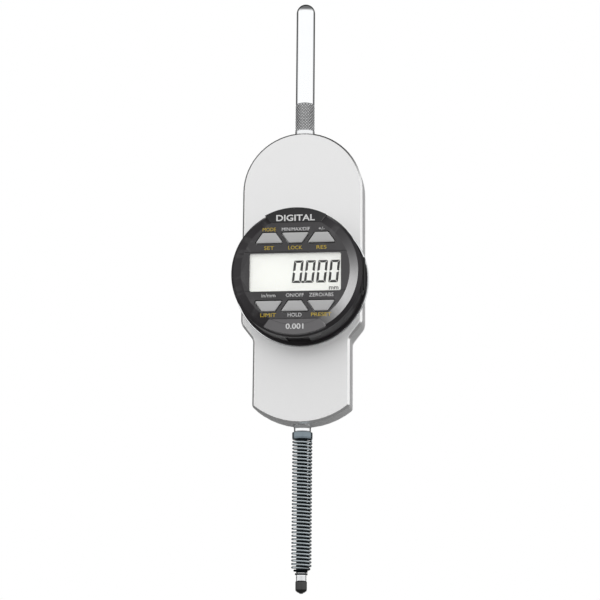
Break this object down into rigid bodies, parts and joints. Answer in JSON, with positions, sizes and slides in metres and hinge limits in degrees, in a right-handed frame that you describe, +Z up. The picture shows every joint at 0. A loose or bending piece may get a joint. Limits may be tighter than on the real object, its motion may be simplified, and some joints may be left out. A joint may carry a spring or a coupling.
{
  "type": "digital dial indicator",
  "caption": "Electronic plunger indicator: round display head with keys that turns on a flat case, spindle in an exposed spring, tube above, lug on the back.",
  "frame": {"origin": "centre of the hole in the lug on the back, level with the axis of the display head", "axes": "+Z up along the spindle towards the tube, -Y towards the display, +X to the right of the display"},
  "size_m": [0.064, 0.0539, 0.287],
  "materials": {
    "case_metal": "satin, finely blasted",
    "steel": "ground",
    "chrome": "polished",
    "spring_steel": "blue-grey drawn wire",
    "black_oxide": "black oxide",
    "brass": "turned",
    "black_plastic": "finely grained",
    "key_plastic": "satin",
    "clear": "clear",
    "display": "reflective liquid-crystal panel",
    "board": "solder mask",
    "rubber": "matte",
    "printed_plate": "satin inlay",
    "scale_glass": "etched glass scale",
    "chip": "moulded",
    "cable": "polyimide film"
  },
  "bodies": {
    "case": {"housing": "case_metal", "back_cover": "case_metal", "cover_gasket": "rubber", "lug_plate": "case_metal", "base_ring": "chrome", "friction_washer": "steel", "lower_bushing": "chrome", "spring_collar": "steel", "upper_bushing": "brass", "knurled_sleeve": "steel", "spindle_tube": "chrome", "guide_rail": "steel", "sensor_board": "board", "read_head": "chip", "ribbon_connector": "chip", "cover_screw_1": "steel", "cover_screw_2": "steel", "cover_screw_3": "steel", "cover_screw_4": "steel", "lug_screw_1": "steel", "lug_screw_2": "steel", "board_screw_1": "steel", "board_screw_2": "steel", "rail_screw_1": "steel", "rail_screw_2": "steel"},
    "plunger": {"spindle": "steel", "contact_point": "black_oxide", "return_spring": "spring_steel", "spring_retainer": "spring_steel", "scale_carriage": "brass", "encoder_scale": "scale_glass", "guide_pin": "steel", "clamp_screw": "steel"},
    "head": {"head_shell": "black_plastic", "front_bezel": "black_plastic", "name_plate": "printed_plate", "range_plate": "printed_plate", "display_lens": "clear", "lcd_panel": "display", "lcd_frame": "black_plastic", "display_board": "board", "key_mat": "rubber", "head_retainer": "steel", "ribbon_coil": "cable", "battery_contact": "brass", "data_port": "black_plastic", "head_screw_1": "steel", "head_screw_2": "steel", "head_screw_3": "steel", "head_screw_4": "steel"},
    "battery_drawer": {"battery_tray": "black_plastic", "coin_cell": "steel"},
    "port_cap": {"port_cover": "rubber"},
    "key_min_max_button": {"key_min_max": "key_plastic"},
    "key_lock_button": {"key_lock": "key_plastic"},
    "key_plus_minus_button": {"key_plus_minus": "key_plastic"},
    "key_inch_mm_button": {"key_inch_mm": "key_plastic"},
    "key_on_off_button": {"key_on_off": "key_plastic"},
    "key_zero_button": {"key_zero": "key_plastic"}
  },
  "joints": [
    {"name": "spindle_travel", "type": "slide", "parent": "case", "child": "plunger", "axis": [0, 0, 1], "range_m": [0, 0.0254], "stiffness_N_per_m": 162, "springref_m": -0.01, "deforming": ["return_spring"]},
    {"name": "head_turn", "type": "hinge", "parent": "case", "child": "head", "pos_m": [0, -0.03, 0], "axis": [0, 1, 0], "range_deg": [-135, 135]},
    {"name": "battery_drawer_slide", "type": "slide", "parent": "head", "child": "battery_drawer", "axis": [0, 0, -1], "range_m": [0, 0.024]},
    {"name": "port_cap_pull", "type": "slide", "parent": "head", "child": "port_cap", "axis": [1, 0, 0], "range_m": [0, 0.006]},
    {"name": "key_min_max_press", "type": "slide", "parent": "head", "child": "key_min_max_button", "axis": [0, 1, 0], "range_m": [0, 0.0006], "stiffness_N_per_m": 1500, "springref_m": -0.0005},
    {"name": "key_lock_press", "type": "slide", "parent": "head", "child": "key_lock_button", "axis": [0, 1, 0], "range_m": [0, 0.0006], "stiffness_N_per_m": 1500, "springref_m": -0.0005},
    {"name": "key_plus_minus_press", "type": "slide", "parent": "head", "child": "key_plus_minus_button", "axis": [0, 1, 0], "range_m": [0, 0.0006], "stiffness_N_per_m": 1500, "springref_m": -0.0005},
    {"name": "key_inch_mm_press", "type": "slide", "parent": "head", "child": "key_inch_mm_button", "axis": [0, 1, 0], "range_m": [0, 0.0006], "stiffness_N_per_m": 1500, "springref_m": -0.0005},
    {"name": "key_on_off_press", "type": "slide", "parent": "head", "child": "key_on_off_button", "axis": [0, 1, 0], "range_m": [0, 0.0006], "stiffness_N_per_m": 1500, "springref_m": -0.0005},
    {"name": "key_zero_press", "type": "slide", "parent": "head", "child": "key_zero_button", "axis": [0, 1, 0], "range_m": [0, 0.0006], "stiffness_N_per_m": 1500, "springref_m": -0.0005}
  ]
}
